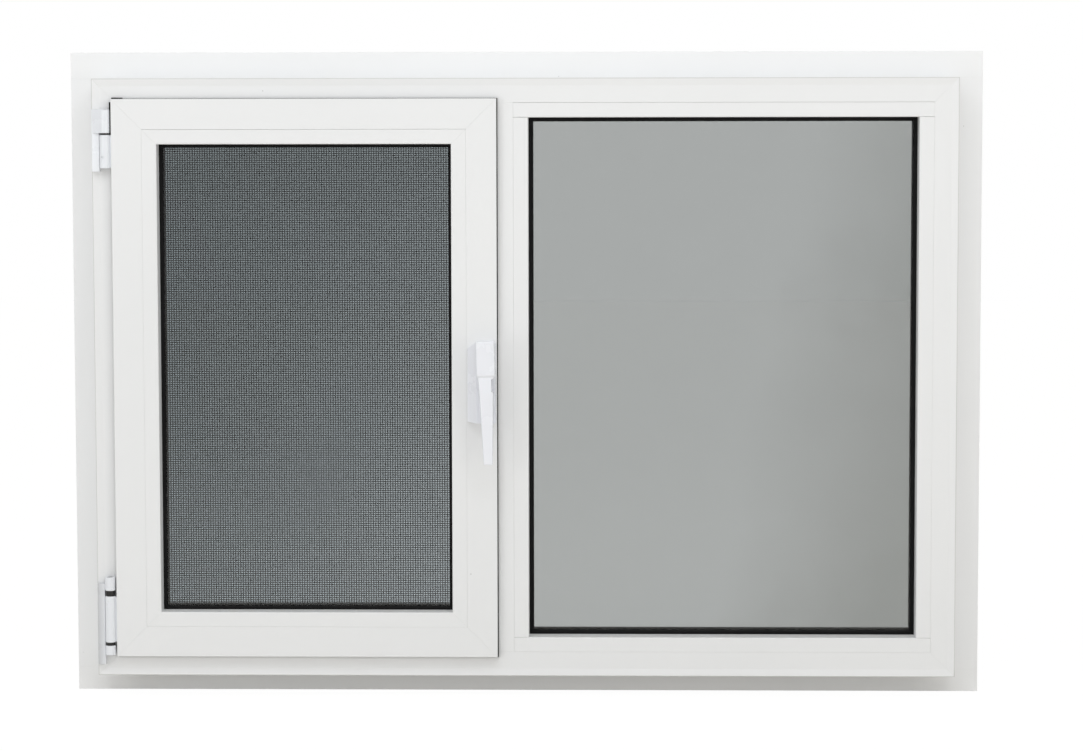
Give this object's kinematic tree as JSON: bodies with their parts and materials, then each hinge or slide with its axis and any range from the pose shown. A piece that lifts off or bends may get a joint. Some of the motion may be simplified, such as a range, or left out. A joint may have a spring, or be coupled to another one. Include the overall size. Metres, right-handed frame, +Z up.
{
  "type": "window",
  "caption": "White aluminium window: an opening sash with side hinges, a lever handle and an insect screen stands beside a fixed light, in a frame with a flat wall fin.",
  "frame": {"origin": "middle of the lower fin strip, on the flat face that lies against the wall", "axes": "+X along the width to the right seen from the room, +Y out of the room, +Z up"},
  "size_m": [1.0004, 0.105, 0.7074],
  "materials": {
    "coated_aluminium": "white powder coat, satin, with a fine orange peel",
    "hardware": "white coated die-cast metal, a little glossier than the frame",
    "rubber": "black, matt",
    "glass": "grey tinted float glass",
    "spacer": "dark, satin",
    "mesh": "dark grey woven screen cloth",
    "pin": "dark plated steel"
  },
  "bodies": {
    "root": {"bottom_hinge_frame_leaf": "hardware", "bottom_hinge_pin": "pin", "bottom_hinge_sash_knuckle": "hardware", "fin_bottom": "coated_aluminium", "fin_left": "coated_aluminium", "fin_right": "coated_aluminium", "fin_top": "coated_aluminium", "fixed_bead_bottom": "coated_aluminium", "fixed_bead_left": "coated_aluminium", "fixed_bead_right": "coated_aluminium", "fixed_bead_top": "coated_aluminium", "fixed_glass_spacer": "spacer", "fixed_inner_gasket": "rubber", "fixed_inner_pane": "glass", "fixed_outer_gasket": "rubber", "fixed_outer_pane": "glass", "frame_head": "coated_aluminium", "frame_left_jamb": "coated_aluminium", "frame_right_jamb": "coated_aluminium", "frame_sill": "coated_aluminium", "handle_base": "hardware", "handle_lever": "hardware", "mullion": "coated_aluminium", "sash_bead_bottom": "coated_aluminium", "sash_bead_left": "coated_aluminium", "sash_bead_right": "coated_aluminium", "sash_bead_top": "coated_aluminium", "sash_bottom_rail": "coated_aluminium", "sash_glass_spacer": "spacer", "sash_handle_stile": "coated_aluminium", "sash_hinge_stile": "coated_aluminium", "sash_inner_gasket": "rubber", "sash_inner_pane": "glass", "sash_outer_gasket": "rubber", "sash_outer_pane": "glass", "sash_seal": "rubber", "sash_top_rail": "coated_aluminium", "screen_bottom": "coated_aluminium", "screen_left": "coated_aluminium", "screen_mesh": "mesh", "screen_right": "coated_aluminium", "screen_top": "coated_aluminium", "top_hinge_frame_leaf": "hardware", "top_hinge_pin": "pin", "top_hinge_sash_knuckle": "hardware"}
  },
  "joints": []
}
